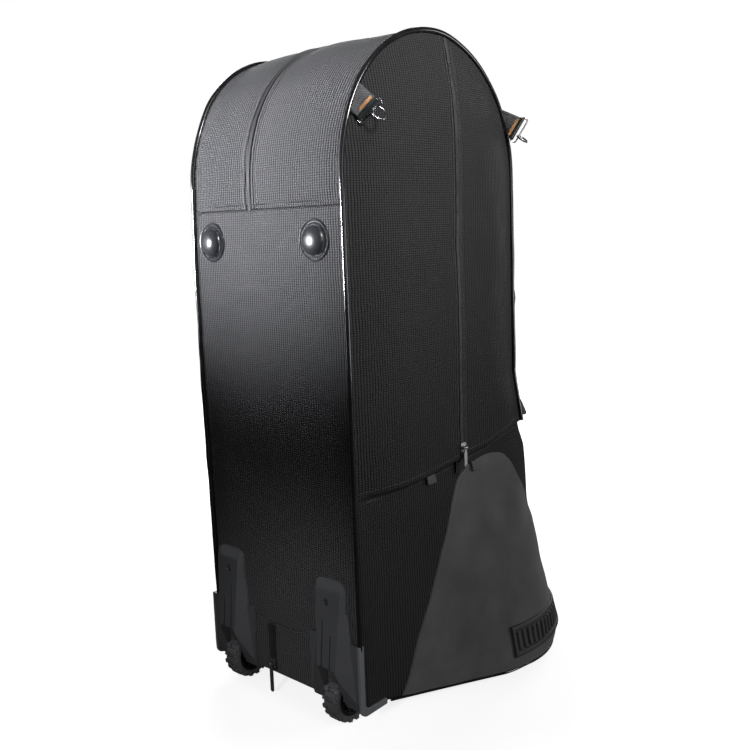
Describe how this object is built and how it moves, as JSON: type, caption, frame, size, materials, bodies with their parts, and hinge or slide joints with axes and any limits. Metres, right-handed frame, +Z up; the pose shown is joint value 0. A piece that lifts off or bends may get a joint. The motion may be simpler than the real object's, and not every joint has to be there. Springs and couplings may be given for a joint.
{
  "type": "wheeled instrument bag",
  "caption": "Padded upright bag with an arched top, a flared bell end, two wheels in moulded housings, a folding zip flap and strap rings.",
  "frame": {"origin": "middle of the footprint's bounding box, on the floor", "axes": "+Z up; -Y is the side with the wheels, +Y the side the bell flares to; X is across the bag"},
  "size_m": [0.4798, 0.591, 1.0025],
  "materials": {
    "ballistic_nylon": "coarse woven black nylon",
    "panel_nylon": "woven black nylon",
    "patch_fabric": "smooth dark grey napped fabric",
    "piping": "glossy black",
    "ribbed_rubber": "matte ribbed",
    "zip_tape": "black woven tape",
    "webbing": "black woven webbing",
    "woven_label": "copper-coloured woven stripe",
    "bright_wire": "polished wire",
    "zip_metal": "black lacquered metal",
    "foot_plastic": "satin dark grey",
    "board_plastic": "plain sheet",
    "housing_plastic": "satin black moulded",
    "screw_steel": "plated",
    "hub_plastic": "moulded",
    "tyre_rubber": "dark grey rubber",
    "foam": "lined foam"
  },
  "bodies": {
    "bag": {"back_panel": "ballistic_nylon", "back_stiffener": "board_plastic", "base_board": "board_plastic", "bell_ring_pad": "foam", "boot_front": "panel_nylon", "boot_side_left": "panel_nylon", "boot_side_right": "panel_nylon", "cone_panel_left": "patch_fabric", "cone_panel_right": "patch_fabric", "corner_rail_left": "housing_plastic", "corner_rail_right": "housing_plastic", "edge_anchors": "webbing", "foot_backing_discs": "board_plastic", "foot_domes": "foot_plastic", "foot_rims": "foot_plastic", "front_panel": "ballistic_nylon", "housing_backing_plates": "board_plastic", "housing_screws": "screw_steel", "interior_strap": "webbing", "kick_panel": "ballistic_nylon", "kick_zip_tape": "zip_tape", "lower_strap_loops": "webbing", "main_zip_tape_right": "zip_tape", "piping_left_lower": "piping", "piping_right": "piping", "pocket_front": "panel_nylon", "pocket_rear": "panel_nylon", "pocket_zip_tape": "zip_tape", "scuff_guard_left": "ribbed_rubber", "scuff_guard_right": "ribbed_rubber", "side_panel_left_lower": "panel_nylon", "side_panel_right": "panel_nylon", "strap_labels": "woven_label", "strap_tab_front": "webbing", "strap_tab_rear": "webbing", "upper_gusset_right": "ballistic_nylon", "wheel_axle_left": "screw_steel", "wheel_axle_right": "screw_steel", "wheel_housing_left": "housing_plastic", "wheel_housing_right": "housing_plastic"},
    "flap": {"upper_gusset_left": "ballistic_nylon", "side_panel_left_flap": "panel_nylon", "piping_left_flap": "piping", "main_zip_tape_left": "zip_tape"},
    "wheel_right": {"wheel_hub_right": "hub_plastic", "wheel_tyre_right": "tyre_rubber"},
    "wheel_left": {"wheel_hub_left": "hub_plastic", "wheel_tyre_left": "tyre_rubber"},
    "main_slider": {"main_zip_slider": "zip_metal"},
    "main_puller": {"main_zip_puller": "zip_metal"},
    "pocket_slider": {"pocket_zip_slider": "zip_metal"},
    "pocket_puller": {"pocket_zip_puller": "zip_metal"},
    "kick_slider": {"kick_zip_slider": "zip_metal"},
    "kick_puller": {"kick_zip_puller": "zip_metal"},
    "frame_rear": {"strap_frame_rear": "bright_wire"},
    "ring_rear": {"strap_ring_rear": "bright_wire"},
    "frame_front": {"strap_frame_front": "bright_wire"},
    "ring_front": {"strap_ring_front": "bright_wire"}
  },
  "joints": [
    {"name": "wheel_right_spin", "type": "hinge", "parent": "bag", "child": "wheel_right", "pos_m": [0.116, -0.2555, 0.038], "axis": [1, 0, 0], "continuous": true},
    {"name": "wheel_left_spin", "type": "hinge", "parent": "bag", "child": "wheel_left", "pos_m": [-0.116, -0.2555, 0.038], "axis": [1, 0, 0], "continuous": true},
    {"name": "flap_open", "type": "hinge", "parent": "bag", "child": "flap", "pos_m": [-0.19, -0.2735, 0.757], "axis": [0, -0.7288, 0.6847], "range_deg": [0, 115]},
    {"name": "main_zip_slide", "type": "slide", "parent": "bag", "child": "main_slider", "axis": [0, 0, 1], "range_m": [0, 0.36]},
    {"name": "main_zip_puller_swing", "type": "hinge", "parent": "main_slider", "child": "main_puller", "pos_m": [-0.028, 0.1141, 0.387], "axis": [1, 0, 0], "range_deg": [0, 120]},
    {"name": "pocket_zip_slide", "type": "slide", "parent": "bag", "child": "pocket_slider", "axis": [0, 0, 1], "range_m": [0, 0.4]},
    {"name": "pocket_zip_puller_swing", "type": "hinge", "parent": "pocket_slider", "child": "pocket_puller", "pos_m": [0.1904, -0.0535, 0.387], "axis": [0, -1, 0], "range_deg": [0, 120]},
    {"name": "kick_zip_slide", "type": "slide", "parent": "bag", "child": "kick_slider", "axis": [0, 0, 1], "range_m": [0, 0.054]},
    {"name": "kick_zip_puller_swing", "type": "hinge", "parent": "kick_slider", "child": "kick_puller", "pos_m": [-0.026, -0.2811, 0.053], "axis": [-1, 0, 0], "range_deg": [0, 120]},
    {"name": "strap_frame_rear_swing", "type": "hinge", "parent": "bag", "child": "frame_rear", "pos_m": [0.18227, -0.23666, 0.88136], "axis": [0.5501, 0.4701, 0.6902], "range_deg": [-60, 12]},
    {"name": "strap_ring_rear_swing", "type": "hinge", "parent": "frame_rear", "child": "ring_rear", "pos_m": [0.18699, -0.23263, 0.87484], "axis": [0.5501, 0.4701, 0.6902], "range_deg": [-50, 10]},
    {"name": "strap_frame_front_swing", "type": "hinge", "parent": "bag", "child": "frame_front", "pos_m": [0.184, 0.1007, 0.87182], "axis": [0.3743, 0.3743, 0.8484], "range_deg": [-40, 40]},
    {"name": "strap_ring_front_swing", "type": "hinge", "parent": "frame_front", "child": "ring_front", "pos_m": [0.1894, 0.1061, 0.86706], "axis": [0.3743, 0.3743, 0.8484], "range_deg": [-30, 30]}
  ]
}
